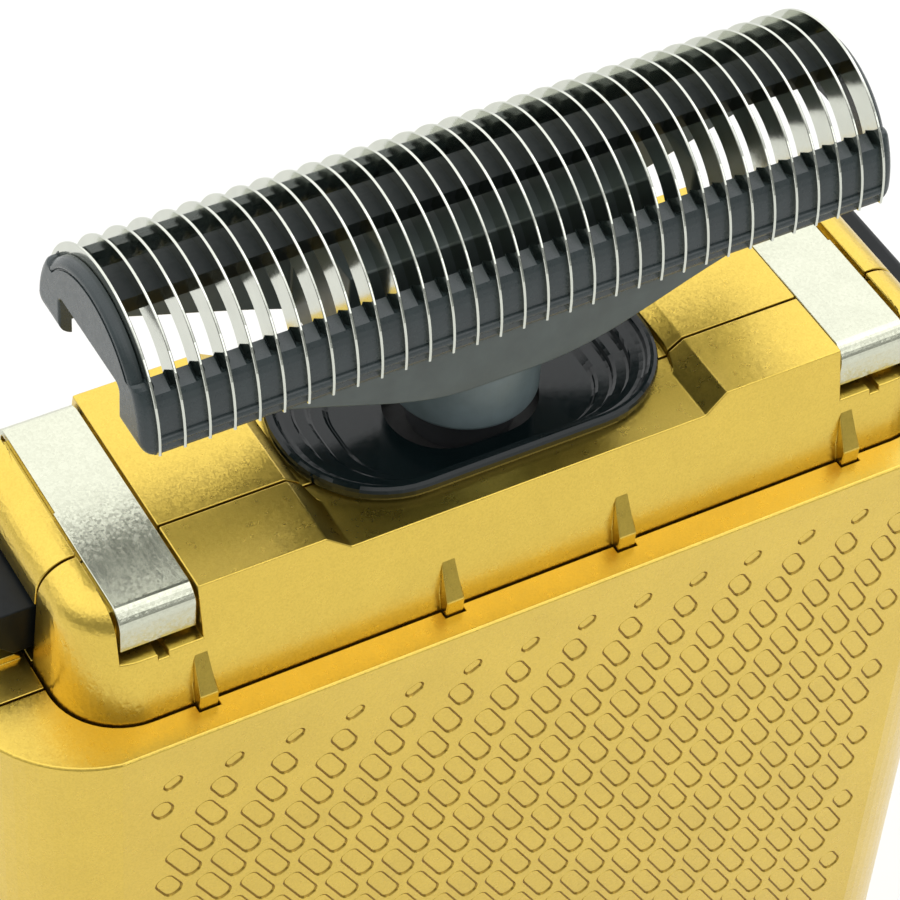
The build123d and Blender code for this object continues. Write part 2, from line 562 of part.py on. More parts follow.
def power_button():
    """Round push button in a bezel ring, with its return spring and switch."""
    face = -HALF_D
    ring = cyl_y(7.25, face + 0.05, face + 2.6, 0, BUTTON_Z)
    ring += cyl_y(8.2, face + WALL, face + 2.6, 0, BUTTON_Z)
    keep("button_ring", ring - cyl_y(6.1, face - 1, face + 4, 0, BUTTON_Z))
    cap = cyl_y(5.8, face + 0.05, face + 2.4, 0, BUTTON_Z)
    cap = fillet(cap.faces().sort_by(Axis.Y)[0].edges(), 0.5)
    cap -= Pos(0, face - 13.4, BUTTON_Z) * Sphere(13.9)
    cap -= cyl_y(2.6, face + 1.5, face + 3, 0, BUTTON_Z)
    cap += cyl_y(1.3, face + 1.0, face + 2.6, 0, BUTTON_Z)
    keep("power_button", cap)
    switch = box(-3, 3, face + 3.9, face + 4.8, BUTTON_Z - 3, BUTTON_Z + 3)
    keep("tact_switch", switch + cyl_y(1.4, face + 3.5, face + 3.9, 0, BUTTON_Z))
    spring = coil(2.1, 0.2, 0, 2.35, 3)
    keep("button_spring", Pos(0, face + 3.88, BUTTON_Z) * Rot(90, 0, 0) * spring)


def indicator_lens():
    """Slim light window with a flange behind the front wall."""
    window = Plane.XZ * SlotOverall(6.2, 1.8)
    flange = Plane.XZ * SlotOverall(7.4, 3.0)
    back_y = -HALF_D + WALL
    lens = Pos(0, back_y, LENS_Z) * extrude(window, WALL - 0.05)
    keep("indicator_lens", lens + Pos(0, back_y + 1.0, LENS_Z) * extrude(flange, 1.0))


def release_buttons():
    """Side buttons that free the foil head, each pushed out by a coil spring."""
    z0, z1 = LEDGE_Z + 0.75, WINDOW_TOP - 0.35
    y0, y1 = NECK_SEAM_Y + 0.35, WINDOW_REAR - 0.35
    x_out, x_in = 29.6, 24.7
    mid_y, mid_z = (y0 + y1) / 2, (z0 + z1) / 2
    bore_end = 26.9
    for side, s in (("left", -1), ("right", 1)):
        button = box(s * x_in, s * x_out, y0, y1, z0, z1)
        button = chamfer(outer_edges(button, s)[0], 1.3)
        button = fillet(outer_edges(button, s)[-1], 0.6)
        button += box(s * x_in, s * (x_in + 0.6), y0, y1 + 0.6, LEDGE_Z + 0.4, z1 + 0.7)
        keep(f"{side}_release_button", button - cyl_x(1.15, s * 20, s * bore_end, mid_y, mid_z))
        spring = Rot(0, s * 90, 0) * coil(0.8, 0.15, 0, bore_end - POCKET_IN, 5)
        keep(f"{side}_release_spring", Pos(s * POCKET_IN, mid_y, mid_z) * spring)


def outer_edges(button, s):
    """Edges along Y of a release button's outer face, lowest first."""
    edges = button.edges().filter_by(Axis.Y).sort_by(Axis.X)
    edges = edges[-2:] if s > 0 else edges[:2]
    return edges.sort_by(Axis.Z)


body_shells()
base_cap()
case_screws()
neck_halves()
gasket()
straps()
boot()
drive_frame()
oscillator()
motor()
cutter()
cutter_hub()
power()
power_button()
indicator_lens()
release_buttons()

for name, shape in nodes.items():
    export_step(shape, f"parts/{name}.step")
print(len(nodes), "nodes")
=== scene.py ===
"""Looks of the compact foil shaver: gold body, steel blades, dark carrier and rubber boot.

Lengths are in millimetres and go to metres when a mesh is made. Positions come from the frame.
"""
import bmesh
import bpy
import json
import math
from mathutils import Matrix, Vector
from mathutils.geometry import delaunay_2d_cdt


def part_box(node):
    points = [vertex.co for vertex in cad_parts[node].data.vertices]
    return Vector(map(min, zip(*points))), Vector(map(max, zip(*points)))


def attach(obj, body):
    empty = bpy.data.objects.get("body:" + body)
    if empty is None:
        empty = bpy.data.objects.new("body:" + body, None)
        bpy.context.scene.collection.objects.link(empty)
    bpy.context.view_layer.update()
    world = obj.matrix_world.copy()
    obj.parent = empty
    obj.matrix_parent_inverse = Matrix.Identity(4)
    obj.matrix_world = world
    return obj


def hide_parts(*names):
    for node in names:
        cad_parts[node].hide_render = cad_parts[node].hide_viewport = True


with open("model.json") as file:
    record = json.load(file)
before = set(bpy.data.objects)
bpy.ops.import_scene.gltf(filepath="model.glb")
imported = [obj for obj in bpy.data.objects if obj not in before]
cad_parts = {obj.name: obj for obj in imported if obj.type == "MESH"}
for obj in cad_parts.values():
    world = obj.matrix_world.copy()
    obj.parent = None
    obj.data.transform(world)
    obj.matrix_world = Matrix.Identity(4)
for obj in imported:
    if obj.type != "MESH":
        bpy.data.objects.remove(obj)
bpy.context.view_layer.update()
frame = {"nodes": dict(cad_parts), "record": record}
MM = 0.001


def low(node):
    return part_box(node)[0] / MM


def high(node):
    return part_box(node)[1] / MM


# ---- places, from the frame ---------------------------------------------------------------------
LEDGE_Z = high("front_shell").z          # shoulder of the body
BASE_Z = low("front_shell").z            # bottom of the shells
PANEL_Y = -low("front_shell").y          # half depth, panel to panel
DECK_Z = high("neck_front").z
BODY_SEAM_Y = high("front_shell").y      # parting plane of the body shells
NECK_SEAM_Y = high("neck_front").y       # parting plane of the neck halves
SEAM_GAP = 0.07                          # how far each part stands back from its seam
ON_PLANE = 0.002                         # a vertex this close to a plane lies on it
BLADE_R = high("cutter_blades").y        # the blades' arch is centred on y = 0
AXIS_Z = high("cutter_blades").z - BLADE_R
BLADE_FOOT = low("cutter_blades").z - AXIS_Z
CAP_X = high("cutter_carrier").x         # outer face of the cutter's end caps
BUTTON_AT = Vector(((low("power_button").x + high("power_button").x) / 2,
                    (low("power_button").z + high("power_button").z) / 2))
BUTTON_R = high("button_ring").x
LENS_Z = (low("indicator_lens").z + high("indicator_lens").z) / 2
LENS_HALF_X = high("indicator_lens").x

# ---- cutter -------------------------------------------------------------------------------------
BLADE_COUNT = 32
CAD_BLADE_T, BLADE_T = 0.2, 0.16                      # the blades are drawn a little thinner
BLADE_IN_R = 4.9
BLADE_PITCH = (high("cutter_blades").x - low("cutter_blades").x - CAD_BLADE_T) / (BLADE_COUNT - 1)
RAIL_R, RAIL_IN_Y = 6.3, 4.5                          # a rail's front face and its inner side
RAIL_FOOT = -0.8                                      # its underside, from the blades' axis
RAIL_TOP_IN = (4.9, 29)                               # radius and angle of its inner top edge
FACET_LOW, FACET_HIGH = (6.3, 27.4), (5.65, 35.0)     # the same for a tooth's facet
NOTCH_TOP, NOTCH_FLOOR = (5.65, 28.2), (5.25, 35.6)   # and for the notch at a blade
NOTCH = 0.27                                          # how far a tooth's top stands off each blade
BEAD_DEG, BEAD_HALF, BEAD_R = 3.2, 2.4, 0.25          # bead along the rail: angle, half width, height
BEAD_FLAT = 0.8                                       # plain strip on each side of the bead, in degrees
ARCH_R, PLATE_R = 5.95, 5.32                          # rim on an end cap's arch, and the arch below it
END_T, EDGE_R, FOOT_R = 0.74, 0.5, 1.1                # end cap: thickness, edge and lower corner
FOOT_EDGE_R = 0.4                                     # rounding under a rail's front face
HOLLOW_HALF_Y, HOLLOW_TOP, HOLLOW_R = 3.56, 2.15, 0.5  # end cap's hollow: half width, top and corner
LIP_R = 0.12                                          # rounding around the hollow
SPINE_R, SPINE_IN_R = 5.7, 4.4                        # upper and lower face of the bar in the blades

# ---- panel pattern ------------------------------------------------------------------------------
CELL_L, CELL_W, CELL_R = 3.08, 1.27, 0.5              # full cell: length, width and corner
CELL_RINGS = ((0.0, 0.0), (0.02, 0.02), (0.075, 0.11), (0.09, 0.117), (0.105, 0.11), (0.14, 0.078),
              (0.17, 0.07))              # inset and depth: a groove all round, then a shallow floor
GROOVE_STEPS = range(1, len(CELL_RINGS) - 2)          # the steps between rings that are groove walls
ALONG = Vector((0.515, -0.857))                       # a cell's long and short way, in X and Z
ACROSS = Vector((0.857, 0.515))
CELL_STEP = 3.64                                      # from cell to cell in a row
ROW_DROP, ROW_SHIFT = 1.595, 0.91                     # from each row to the next: down, and to -X
EXTRA_DROP, LESS_SHIFT = 0.26, 0.34                   # parts by which the first row differs from that
ROW_EASE = 0.6                                        # what is left of the difference a row further on
FIRST_ROW = (-8.6, LEDGE_Z - 3.13)                    # one cell of the top row, in X and Z
ROW_LENGTHS = (0.8, 2.0, 2.6, 2.9)                    # cells in the first rows are shorter
SHORT_CELL, CELL_GROWTH = 0.8, 1.6                    # length at an edge, and growth for each mm of room
PATTERN_LEFT, PATTERN_RIGHT = -24.1, 24.7
PATTERN_FOOT = BASE_Z + 4.0
CLEAR_OF_BUTTON = 1.4                                 # from the ring round the button
CLEAR_OF_LENS, CLEAR_OF_SCREW = 2.4, 4.6              # from the lens's centre line, a screw's centre
SCREW_HEAD_R = 1.9


# ---- materials ----------------------------------------------------------------------------------
class Shade:
    """A node material: every texture is procedural and lies in object space."""

    def __init__(self, name):
        self.material = bpy.data.materials.new(name)
        self.material.use_nodes = True
        self.nodes = self.material.node_tree.nodes
        self.links = self.material.node_tree.links
        self.shader = self.nodes["Principled BSDF"]
        self.place = self.nodes.new("ShaderNodeTexCoord").outputs["Object"]
        self.normal = None

    def stretched(self, scale):
        node = self.nodes.new("ShaderNodeMapping")
        node.inputs["Scale"].default_value = scale
        self.links.new(self.place, node.inputs["Vector"])
        return node.outputs["Vector"]

    def noise(self, per_mm, detail=3.0, stretch=(1, 1, 1)):
        node = self.nodes.new("ShaderNodeTexNoise")
        node.inputs["Scale"].default_value = per_mm / MM
        node.inputs["Detail"].default_value = detail
        self.links.new(self.stretched(stretch), node.inputs["Vector"])
        return node.outputs["Fac"]

    def grains(self, per_mm):
        """Random colour, one for each small grain."""
        node = self.nodes.new("ShaderNodeTexVoronoi")
        node.inputs["Scale"].default_value = per_mm / MM
        self.links.new(self.place, node.inputs["Vector"])
        return node.outputs["Color"]

    def vector(self, operation, first, second):
        node = self.nodes.new("ShaderNodeVectorMath")
        node.operation = operation
        self.links.new(first, node.inputs[0])
        if isinstance(second, tuple):
            node.inputs[1].default_value = second
        elif second is not None:
            self.links.new(second, node.inputs[1])
        return node.outputs["Vector"]

    def tilt(self, grains, amount):
        """Leans the surface a little in each grain, so that flakes sparkle one by one."""
        centred = self.vector("SUBTRACT", grains, (0.5, 0.5, 0.5))
        lean = self.vector("MULTIPLY", centred, (amount, amount, amount))
        straight = self.nodes.new("ShaderNodeNewGeometry").outputs["Normal"]
        self.normal = self.vector("NORMALIZE", self.vector("ADD", straight, lean), None)
        self.links.new(self.normal, self.shader.inputs["Normal"])

    def ramp(self, factor, dark, light, start=0.3, end=0.7):
        node = self.nodes.new("ShaderNodeValToRGB")
        node.color_ramp.elements[0].position = start
        node.color_ramp.elements[0].color = (*dark, 1)
        node.color_ramp.elements[1].position = end
        node.color_ramp.elements[1].color = (*light, 1)
        self.links.new(factor, node.inputs["Fac"])
        return node.outputs["Color"]

    def span(self, factor, start, end):
        node = self.nodes.new("ShaderNodeMapRange")
        node.inputs["From Min"].default_value = 0.25
        node.inputs["From Max"].default_value = 0.75
        node.inputs["To Min"].default_value = start
        node.inputs["To Max"].default_value = end
        self.links.new(factor, node.inputs["Value"])
        return node.outputs["Result"]

    def multiply(self, first, second):
        node = self.nodes.new("ShaderNodeMix")
        node.data_type = "RGBA"
        node.blend_type = "MULTIPLY"
        node.inputs["Factor"].default_value = 1.0
        self.links.new(first, node.inputs[6])
        self.links.new(second, node.inputs[7])
        return node.outputs[2]

    def bump(self, height, depth_mm, strength=1.0):
        node = self.nodes.new("ShaderNodeBump")
        node.inputs["Distance"].default_value = depth_mm * MM
        node.inputs["Strength"].default_value = strength
        self.links.new(height, node.inputs["Height"])
        if self.normal is not None:
            self.links.new(self.normal, node.inputs["Normal"])
        self.normal = node.outputs["Normal"]
        self.links.new(self.normal, self.shader.inputs["Normal"])

    def set(self, **values):
        for name, value in values.items():
            self.shader.inputs[name.replace("_", " ")].default_value = value

    def colour(self, socket):
        self.links.new(socket, self.shader.inputs["Base Color"])

    def roughness(self, socket):
        self.links.new(socket, self.shader.inputs["Roughness"])


def mottled(shade, base, spread, per_mm):
    """Base colour that drifts a little, lighter and darker."""
    dark = tuple(c * (1 - spread) for c in base)
    light = tuple(min(1.0, c * (1 + spread)) for c in base)
    return shade.ramp(shade.noise(per_mm), dark, light)


def gold_paint(name, tone=(0.73, 0.525, 0.092)):
    """Metallic paint: tiny flakes of uneven brightness under a thin satin coat."""
    shade = Shade(name)
    flakes = shade.grains(11.0)
    base = mottled(shade, tone, 0.03, 0.25)
    shade.colour(shade.multiply(base, shade.ramp(flakes, (0.90, 0.89, 0.86), (1.0, 1.0, 1.0), 0.0, 0.7)))
    shade.roughness(shade.span(shade.noise(1.5), 0.26, 0.32))
    shade.set(Metallic=1.0, Coat_Weight=0.25, Coat_Roughness=0.15)
    shade.tilt(flakes, 0.06)
    shade.bump(shade.noise(0.9), 0.008, 0.25)
    return shade.material


def satin_steel(name, base, rough, stretch, per_mm=6.0, depth=0.002):
    """Steel with a fine grain, drawn out along one direction."""
    shade = Shade(name)
    shade.colour(mottled(shade, base, 0.04, 0.8))
    grain = shade.noise(per_mm, 4.0, stretch)
    shade.roughness(shade.span(grain, rough - 0.03, rough + 0.05))
    shade.set(Metallic=1.0)
    shade.bump(grain, depth, 0.5)
    return shade.material


def strap_steel(name):
    """Satin stainless sheet with a fine, sparkling grain."""
    shade = Shade(name)
    grains = shade.grains(7.0)
    shine = shade.ramp(grains, (0.90, 0.90, 0.89), (1.0, 1.0, 1.0), 0.0, 0.8)
    shade.colour(shade.multiply(mottled(shade, (0.64, 0.655, 0.53), 0.03, 0.5), shine))
    shade.roughness(shade.span(shade.noise(5.0, 4.0, (1, 0.15, 1)), 0.20, 0.28))
    shade.set(Metallic=1.0)
    shade.tilt(grains, 0.05)
    return shade.material


def plastic(name, base, rough, spread=0.12, depth=0.003, coat=0.0, specular=0.5):
    """Moulded plastic or rubber with faint flow marks and a fine texture."""
    shade = Shade(name)
    shade.colour(mottled(shade, base, spread, 0.6))
    shade.roughness(shade.span(shade.noise(2.5), rough - 0.05, rough + 0.06))
    shade.set(Coat_Weight=coat, Coat_Roughness=0.1, Specular_IOR_Level=specular)
    shade.bump(shade.noise(7.0, 4.0), depth, 0.3)
    return shade.material


def clear_lens(name):
    shade = Shade(name)
    shade.colour(mottled(shade, (0.80, 0.82, 0.80), 0.03, 0.5))
    shade.roughness(shade.span(shade.noise(2.0), 0.18, 0.28))
    shade.set(Transmission_Weight=0.6, IOR=1.49)
    return shade.material


def wound_steel(name):
    return satin_steel(name, (0.55, 0.55, 0.56), 0.3, (1, 1, 1))


MATERIALS = {
    "gold_paint": gold_paint("gold_paint"),
    "button_gold": gold_paint("button_gold"),
    "strap_steel": strap_steel("strap_steel"),
    "blade_steel": satin_steel("blade_steel", (0.62, 0.64, 0.57), 0.10, (1, 1, 1), depth=0.0006),
    "carrier_plastic": plastic("carrier_plastic", (0.027, 0.039, 0.041), 0.28, specular=0.5),
    "hub_plastic": plastic("hub_plastic", (0.075, 0.095, 0.092), 0.42),
    "boss_plastic": plastic("boss_plastic", (0.13, 0.17, 0.18), 0.4),
    "boot_rubber": plastic("boot_rubber", (0.005, 0.010, 0.011), 0.13, specular=0.35),
    "seal_rubber": plastic("seal_rubber", (0.02, 0.02, 0.02), 0.6),
    "button_slate": plastic("button_slate", (0.006, 0.008, 0.009), 0.4, specular=0.2),
    "bezel_black": plastic("bezel_black", (0.01, 0.01, 0.011), 0.3),
    "lens_clear": clear_lens("lens_clear"),
    "screw_steel": wound_steel("screw_steel"),
    "spring_steel": wound_steel("spring_steel"),
    "shaft_steel": satin_steel("shaft_steel", (0.62, 0.62, 0.62), 0.2, (1, 1, 0.2)),
    "bush_bronze": satin_steel("bush_bronze", (0.55, 0.33, 0.14), 0.35, (0.2, 1, 1)),
    "frame_plastic": plastic("frame_plastic", (0.04, 0.042, 0.045), 0.5),
    "drive_plastic": plastic("drive_plastic", (0.55, 0.55, 0.52), 0.4),
    "motor_steel": satin_steel("motor_steel", (0.5, 0.5, 0.5), 0.32, (1, 1, 0.3)),
    "cell_wrap": plastic("cell_wrap", (0.05, 0.16, 0.10), 0.35, coat=0.3),
    "tab_nickel": satin_steel("tab_nickel", (0.6, 0.57, 0.5), 0.3, (1, 0.2, 1)),
    "board_green": plastic("board_green", (0.01, 0.09, 0.04), 0.4, coat=0.3),
    "chip_black": plastic("chip_black", (0.015, 0.015, 0.016), 0.45),
}
PAINTED_GROOVE_SHADE = gold_paint("painted_groove_shade", (0.37, 0.235, 0.035))   # painted shade: a darker gold for the walls of the cells' grooves, where shade falls
BODIES = frame["record"]["behaviour"]["bodies"]
BODY_OF = {node: body for body, members in BODIES.items() for node in members}


# ---- mesh helpers -------------------------------------------------------------------------------
def piece(name, mesh, slot, body, *stands_for):
    """Adds the mesh as a piece that rides on a body and stands for CAD nodes."""
    obj = bpy.data.objects.new(name, mesh)
    bpy.context.scene.collection.objects.link(obj)
    mesh.materials.append(MATERIALS[slot])
    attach(obj, body)
    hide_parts(*stands_for)
    return obj


def bevel(obj, width, segments=2, angle=30.0):
    mod = obj.modifiers.new("edges", "BEVEL")
    mod.width = width * MM
    mod.segments = segments
    mod.limit_method = "ANGLE"
    mod.angle_limit = math.radians(angle)
    mod.harden_normals = True
    mod.use_clamp_overlap = False
    return mod


def mesh_of(bm, name, sharp_deg=30.0):
    """Mesh from a bmesh in metres, smooth except at its sharp edges."""
    bmesh.ops.recalc_face_normals(bm, faces=bm.faces)
    for face in bm.faces:
        face.smooth = not face.tag
    limit = math.radians(sharp_deg)
    for edge in bm.edges:
        edge.smooth = len(edge.link_faces) == 2 and edge.calc_face_angle(0.0) < limit
    mesh = bpy.data.meshes.new(name)
    bm.to_mesh(mesh)
    bm.free()
    return mesh


def add_tube(bm, rings, closed=False):
    """Skins rings of equal length. Closed joins the last ring to the first, else both ends are capped."""
    made = [[bm.verts.new(Vector(p) * MM) for p in ring] for ring in rings]
    count = len(rings[0])
    pairs = list(zip(made, made[1:]))
    if closed:
        pairs.append((made[-1], made[0]))
    for a, b in pairs:
        for i in range(count):
            j = (i + 1) % count
            bm.faces.new((a[i], a[j], b[j], b[i]))
    if not closed:
        bm.faces.new(made[0][::-1])
        bm.faces.new(made[-1])


def clean_copy(node):
    """The CAD node's surface as a bmesh with its triangles merged back into flat faces."""
    source = frame["nodes"][node].data
    bare = bpy.data.meshes.new(node + "_bare")
    bare.from_pydata([v.co for v in source.vertices], [], [tuple(p.vertices) for p in source.polygons])
    bm = bmesh.new()
    bm.from_mesh(bare)
    bpy.data.meshes.remove(bare)
    bmesh.ops.remove_doubles(bm, verts=bm.verts, dist=1e-7)
    bmesh.ops.dissolve_limit(bm, angle_limit=math.radians(0.5), verts=bm.verts, edges=bm.edges)
    return bm


def open_seam(bm, plane_y, by):
    """Draws the faces that meet another part back a little, so the seam shows as a dark line."""
    for vert in bm.verts:
        if abs(vert.co.y / MM - plane_y) < ON_PLANE:
            vert.co.y += by * MM


def refined(node, slot, width, segments=2, seam=None, longer=0.0):
    """A copy of the CAD node with its edges broken. A value for longer draws its lowest faces down."""
    bm = clean_copy(node)
    foot = low(node).z
    for vert in bm.verts:
        if vert.co.z / MM < foot + 0.01:
            vert.co.z -= longer * MM
    if seam:
        open_seam(bm, *seam)
    mesh = mesh_of(bm, node + "_shape")
    obj = piece(node + "_shape", mesh, slot, BODY_OF[node], node)
    bevel(obj, width, segments)
    return obj


def polar(radius, degrees):
    """Point (y, z) about the cutter's axis, its angle from the front over the top."""
    t = math.radians(degrees)
    return (-radius * math.cos(t), AXIS_Z + radius * math.sin(t))


def arc(radius, start, end, steps):
    return [polar(radius, start + (end - start) * i / steps) for i in range(steps + 1)]


def rounded_rect(length, width, radius, steps=4):
    """Corner-rounded outline about the origin, counter-clockwise."""
    radius = max(0.02, min(radius, length / 2 - 0.01, width / 2 - 0.01))
    points = []
    for quarter, (sx, sy) in enumerate(((1, 1), (-1, 1), (-1, -1), (1, -1))):
        cx, cy = sx * (length / 2 - radius), sy * (width / 2 - radius)
        for i in range(steps + 1):
            t = math.radians(90 * (quarter + i / steps))
            points.append(Vector((cx + radius * math.cos(t), cy + radius * math.sin(t))))
    return points


# ---- panel pattern ------------------------------------------------------------------------------
def cell_length(row, x, z, rear):
    """Length of a cell: full in the field, shorter towards each edge, None where there is no cell."""
    limit = ROW_LENGTHS[row] if row < len(ROW_LENGTHS) else CELL_L
    free = [x - PATTERN_LEFT, PATTERN_RIGHT - x, z - PATTERN_FOOT]
    if not rear:
        free.append((Vector((x, z)) - BUTTON_AT).length - BUTTON_R - CLEAR_OF_BUTTON)
        to_lens = Vector((max(0.0, abs(x) - LENS_HALF_X), z - LENS_Z))
        free.append(to_lens.length - CLEAR_OF_LENS)
    room = min(free)
    if room < 0:
        return None
    return min(limit, SHORT_CELL + CELL_GROWTH * room)


def lattice(rear):
    """Centre and length of every cell, in X and Z on the panel."""
    x, z = FIRST_ROW
    row = 0
    while z > PATTERN_FOOT:
        first = math.ceil((PATTERN_LEFT - x) / CELL_STEP)
        last = math.floor((PATTERN_RIGHT - x) / CELL_STEP)
        for k in range(first, last + 1):
            length = cell_length(row, x + CELL_STEP * k, z, rear)
            if length:
                yield x + CELL_STEP * k, z, length
        x -= ROW_SHIFT * (1 - LESS_SHIFT * ROW_EASE ** row)
        z -= ROW_DROP * (1 + EXTRA_DROP * ROW_EASE ** row)
        row += 1


def near_screw(x, z):
    """The rear case screws sit in the panel's corners, and the pattern stays clear of them."""
    screw_x = high("case_screws").x - SCREW_HEAD_R
    for side in (-1, 1):
        for screw_z in (high("case_screws").z - SCREW_HEAD_R, low("case_screws").z + SCREW_HEAD_R):
            if (Vector((x, z)) - Vector((side * screw_x, screw_z))).length < CLEAR_OF_SCREW:
                return True
    return False


def boundary_loops(bm):
    """Closed loops of open edges, each a list of vertices in order."""
    links = {}
    for edge in bm.edges:
        if len(edge.link_faces) == 1:
            a, b = edge.verts
            links.setdefault(a, []).append(b)
            links.setdefault(b, []).append(a)
    loops = []
    while links:
        start = next(iter(links))
        loop, here = [start], start
        while True:
            there = links[here].pop()
            links[there].remove(here)
            if not links[here]:
                del links[here]
            if there is start:
                break
            loop.append(there)
            here = there
        if start in links and not links[start]:
            del links[start]
        loops.append(loop)
    return loops


def area_of(points):
    return sum(a.x * b.y - b.x * a.y for a, b in zip(points, points[1:] + points[:1])) / 2


def counter_clockwise(points):
    return points if area_of(points) > 0 else points[::-1]


def add_cells(bm, outlines, side):
    """Walls and floor of each pressed-in cell."""
    pressed = bm.faces.layers.int.new("pressed")
    for rings in outlines:
        made = []
        for (_, depth), ring in zip(CELL_RINGS, rings):
            y = side * (PANEL_Y - depth)
            made.append([bm.verts.new(Vector((p.x, y, p.y)) * MM) for p in ring])
        for step, (a, b) in enumerate(zip(made, made[1:])):
            for i in range(len(a)):
                j = (i + 1) % len(a)
                wall = bm.faces.new((a[i], a[j], b[j], b[i]))
                wall[pressed] = 1
                # groove walls take the second material, the darker gold that is painted shade
                wall.material_index = 1 if step in GROOVE_STEPS else 0
        bm.faces.new(made[-1])[pressed] = 1


def weigh_edges(bm):
    """Marks the shell's own hard edges, and none of the cells', for the bevel."""
    pressed = bm.faces.layers.int["pressed"]
    weight = bm.edges.layers.float.new("bevel_weight_edge")
    for edge in bm.edges:
        if any(face[pressed] for face in edge.link_faces) or len(edge.link_faces) != 2:
            continue
        if edge.calc_face_angle(0.0) > math.radians(36):
            edge[weight] = 1.0


def cell_rings(x, z, length, mirrored):
    rings = []
    for inset, _ in CELL_RINGS:
        outline = rounded_rect(length - 2 * inset, CELL_W - 2 * inset, CELL_R - inset / 2)
        ring = [Vector((x, z)) + ALONG * p.x + ACROSS * p.y for p in outline]
        if mirrored:
            ring = [Vector((-p.x, p.y)) for p in ring]
        rings.append(ring)
    return rings


def patterned_shell(node, side):
    """Body shell with rows of slanted cells pressed into its flat panel."""
    rear = side > 0
    bm = clean_copy(node)
    open_seam(bm, BODY_SEAM_Y, side * SEAM_GAP)
    flat = [f for f in bm.faces if all(abs(v.co.y / MM - side * PANEL_Y) < ON_PLANE for v in f.verts)]
    bmesh.ops.delete(bm, geom=flat, context="FACES")
    loops = [[Vector((v.co.x / MM, v.co.z / MM)) for v in loop] for loop in boundary_loops(bm)]
    loops = sorted((counter_clockwise(loop) for loop in loops), key=area_of, reverse=True)
    cells = [cell_rings(x, z, length, rear) for x, z, length in lattice(rear)
             if not (rear and near_screw(x, z))]
    outlines = loops + [counter_clockwise(rings[0]) for rings in cells]
    points, faces = [], []
    for outline in outlines:
        faces.append(list(range(len(points), len(points) + len(outline))))
        points += outline
    flat_points, _, triangles, _, _, owners = delaunay_2d_cdt(points, [], faces, 1, 1e-6)
    verts = [bm.verts.new(Vector((p.x, side * PANEL_Y, p.y)) * MM) for p in flat_points]
    for triangle, owner in zip(triangles, owners):
        if list(owner) == [0]:
            bm.faces.new([verts[i] for i in triangle]).tag = True
    add_cells(bm, cells, side)
    bmesh.ops.remove_doubles(bm, verts=bm.verts, dist=2e-6)
    bmesh.ops.delete(bm, geom=[v for v in bm.verts if not v.link_faces], context="VERTS")
    bm.normal_update()
    weigh_edges(bm)
    shell = piece(node + "_shape", mesh_of(bm, node + "_shape"), "gold_paint", BODY_OF[node], node)
    # second material: darker gold as painted shade for the cells' grooves
    shell.data.materials.append(PAINTED_GROOVE_SHADE)
    bevel(shell, 0.06).limit_method = "WEIGHT"
    return shell


# ---- cutter -------------------------------------------------------------------------------------
def blade_places():
    return [(i - (BLADE_COUNT - 1) / 2) * BLADE_PITCH for i in range(BLADE_COUNT)]


def blade_stations(radius):
    """Path of one blade's edge at a radius: up the front leg, over the arch and down the rear leg."""
    legs = [(radius, AXIS_Z + BLADE_FOOT), (radius, AXIS_Z + BLADE_FOOT / 2)]
    over = arc(radius, 0, 180, 72)
    return [(-y, z) for y, z in legs] + over + legs[::-1]


def blades():
    """Row of thin arched plates with slightly broken edges."""
    edge = 0.035
    half = BLADE_T / 2
    section = ((BLADE_IN_R + edge, -half), (BLADE_R - edge, -half), (BLADE_R, -half + edge),
               (BLADE_R, half - edge), (BLADE_R - edge, half), (BLADE_IN_R + edge, half),
               (BLADE_IN_R, half - edge), (BLADE_IN_R, -half + edge))
    paths = [blade_stations(radius) for radius, _ in section]
    bm = bmesh.new()
    for x in blade_places():
        rings = []
        for stations in zip(*paths):
            rings.append([(x + dx, *station) for (_, dx), station in zip(section, stations)])
        add_tube(bm, rings)
    return piece("blade_row", mesh_of(bm, "blade_row", 50), "blade_steel", "cutter", "cutter_blades")


def end_foot(inside):
    """Height of the rail's underside, which rounds up towards the end of the carrier."""
    into = max(0.0, FOOT_R - inside)
    return AXIS_Z + RAIL_FOOT + FOOT_R - math.sqrt(FOOT_R ** 2 - into ** 2)


def foot_corner(radius, foot):
    """Rounded lower edge of a rail, from its underside to its front face."""
    points = []
    for i in range(5):
        t = math.radians(22.5 * i)
        points.append((-radius + FOOT_EDGE_R - FOOT_EDGE_R * math.sin(t),
                       foot + FOOT_EDGE_R - FOOT_EDGE_R * math.cos(t)))
    return points


def tooth_section(kind):
    """Section (y, z) of the front rail: a tooth's middle, the notch at a blade, or the plain end."""
    points = [(-RAIL_IN_Y, AXIS_Z + RAIL_FOOT)] + foot_corner(RAIL_R, AXIS_Z + RAIL_FOOT)
    bead_r = 0.0 if kind == "end" else BEAD_R
    points.append(polar(RAIL_R, BEAD_DEG - BEAD_HALF - BEAD_FLAT))
    for i in range(9):
        t = math.pi * i / 8
        points.append(polar(RAIL_R + bead_r * math.sin(t), BEAD_DEG - BEAD_HALF * math.cos(t)))
    top = FACET_HIGH[1] if kind == "end" else FACET_LOW[1]
    points += arc(RAIL_R, BEAD_DEG + BEAD_HALF + BEAD_FLAT, top, 6)
    low_point, high_point = polar(*FACET_LOW), polar(*FACET_HIGH)
    if kind == "tooth":
        points += [tuple((p + q) / 2 for p, q in zip(low_point, high_point)), high_point]
    elif kind == "notch":
        points += [polar(*NOTCH_TOP), polar(*NOTCH_FLOOR)]
    else:
        points += [polar(RAIL_R - 0.2, top + 0.6), polar(RAIL_R - 0.7, top + 0.8)]
    return points + [polar(*RAIL_TOP_IN)]


